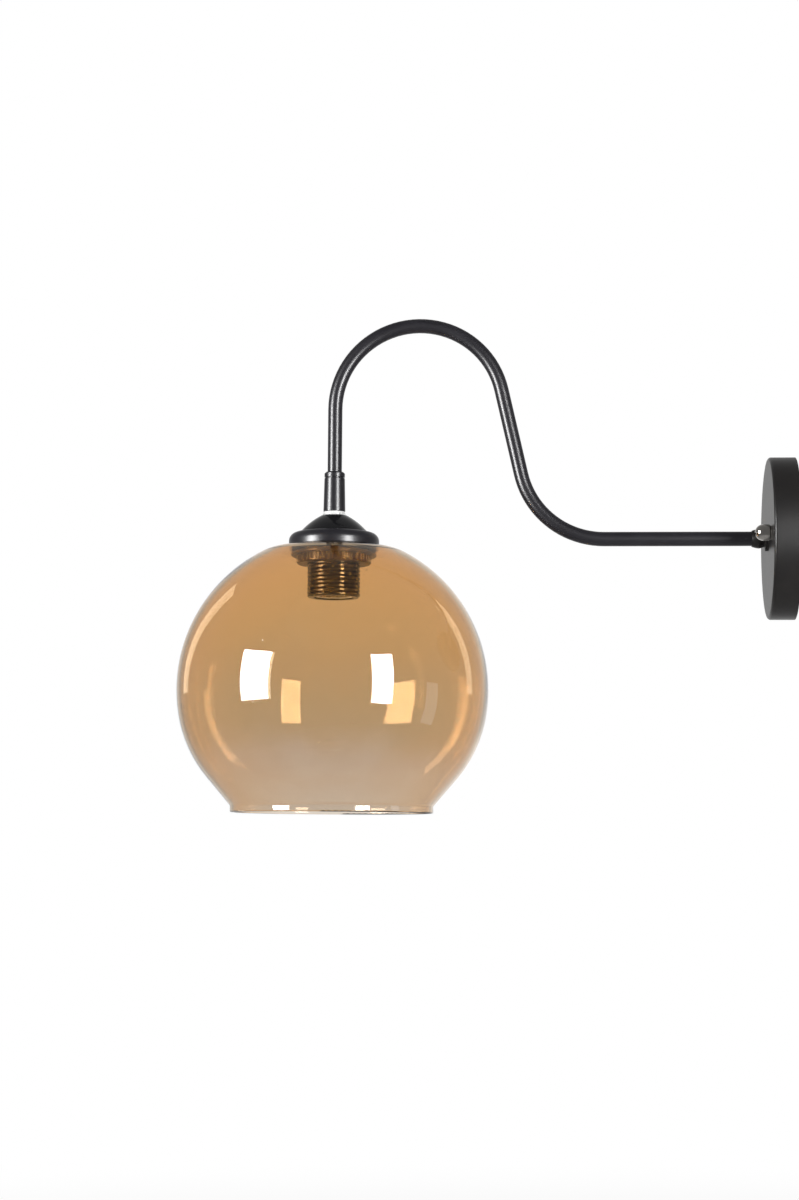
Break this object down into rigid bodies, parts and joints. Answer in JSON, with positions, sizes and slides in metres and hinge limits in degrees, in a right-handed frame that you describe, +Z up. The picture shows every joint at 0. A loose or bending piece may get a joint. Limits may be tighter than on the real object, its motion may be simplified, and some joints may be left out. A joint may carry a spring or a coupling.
{
  "type": "hanging pendant wall sconce",
  "caption": "Wall sconce with a round canopy, a bent tube arm and a cut globe glass shade that hangs open side down from a swivelling screw lampholder.",
  "frame": {"origin": "centre of the wall plate's back face, midway between its two slots, on the wall's surface", "axes": "+X out of the back of the wall plate, into the wall; the lamp stands out along -X; +Z up; -Y the side with the canopy's cap nut"},
  "size_m": [0.4265, 0.216, 0.3462],
  "materials": {
    "plated_steel": "zinc plated",
    "black_paint": "satin black paint",
    "gloss_black_paint": "gloss black paint",
    "gunmetal": "dark gunmetal plating, semi bright",
    "nickel": "polished nickel",
    "brass": "bright",
    "spring_steel": "drawn wire",
    "white_nylon": "matt moulded",
    "black_phenolic": "moulded, semi gloss",
    "white_ceramic": "unglazed steatite",
    "black_rubber": "matt",
    "lead_sheath": "flexible sheath",
    "brown_core": "core insulation",
    "blue_core": "core insulation",
    "green_core": "core insulation",
    "amber_glass": "clear amber, polished"
  },
  "bodies": {
    "wall_side": {"wall_plate": "plated_steel", "canopy": "black_paint", "canopy_stud": "plated_steel", "cap_nut": "nickel", "root_socket": "black_paint", "root_lock_washer": "plated_steel", "root_lock_nut": "plated_steel", "arm_tube": "gunmetal", "arm_lead": "lead_sheath", "lead_bush": "white_nylon", "terminal_block": "white_nylon", "terminal_clamps": "brass", "terminal_screws": "plated_steel", "block_screw": "plated_steel", "live_tail": "brown_core", "neutral_tail": "blue_core", "earth_tail": "green_core", "earth_lug": "plated_steel", "earth_screw": "brass", "swivel_cap": "gunmetal", "swivel_retaining_ring": "plated_steel"},
    "lampholder": {"swivel_sleeve": "gunmetal", "swivel_stop_pin": "plated_steel", "spacer_ring": "white_nylon", "holder_nipple": "plated_steel", "nipple_nut": "plated_steel", "dome_cover": "gloss_black_paint", "gallery_ring": "gunmetal", "holder_cap": "black_phenolic", "holder_skirt": "black_phenolic", "insulating_core": "white_ceramic", "screw_shell": "brass", "shell_tab": "brass", "live_strip": "brass", "contact_spring": "spring_steel", "holder_terminals": "brass", "holder_terminal_screws": "plated_steel", "holder_lead": "lead_sheath", "holder_live_core": "brown_core", "holder_neutral_core": "blue_core", "upper_gasket": "black_rubber"},
    "contact": {"centre_contact": "brass"},
    "shade": {"glass_shade": "amber_glass", "lower_gasket": "black_rubber"},
    "ring": {"shade_ring": "black_phenolic"}
  },
  "joints": [
    {"name": "shade_swivel", "type": "hinge", "parent": "wall_side", "child": "lampholder", "pos_m": [-0.3185, 0, 0.039], "axis": [0, 0, 1], "range_deg": [-160, 160]},
    {"name": "shade_drop", "type": "slide", "parent": "lampholder", "child": "shade", "axis": [0, 0, -1], "range_m": [0, 0.03]},
    {"name": "ring_turn", "type": "hinge", "parent": "shade", "child": "ring", "pos_m": [-0.3185, 0, -0.013], "axis": [0, 0, -1], "range_deg": [0, 3816.3]},
    {"name": "contact_press", "type": "slide", "parent": "lampholder", "child": "contact", "axis": [0, 0, 1], "range_m": [0, 0.0015], "stiffness_N_per_m": 1500, "deforming": ["contact_spring"]}
  ],
  "couplings": [
    {"joint": "ring_turn", "follows": "shade_drop", "rad_per_m": 2220.2}
  ]
}
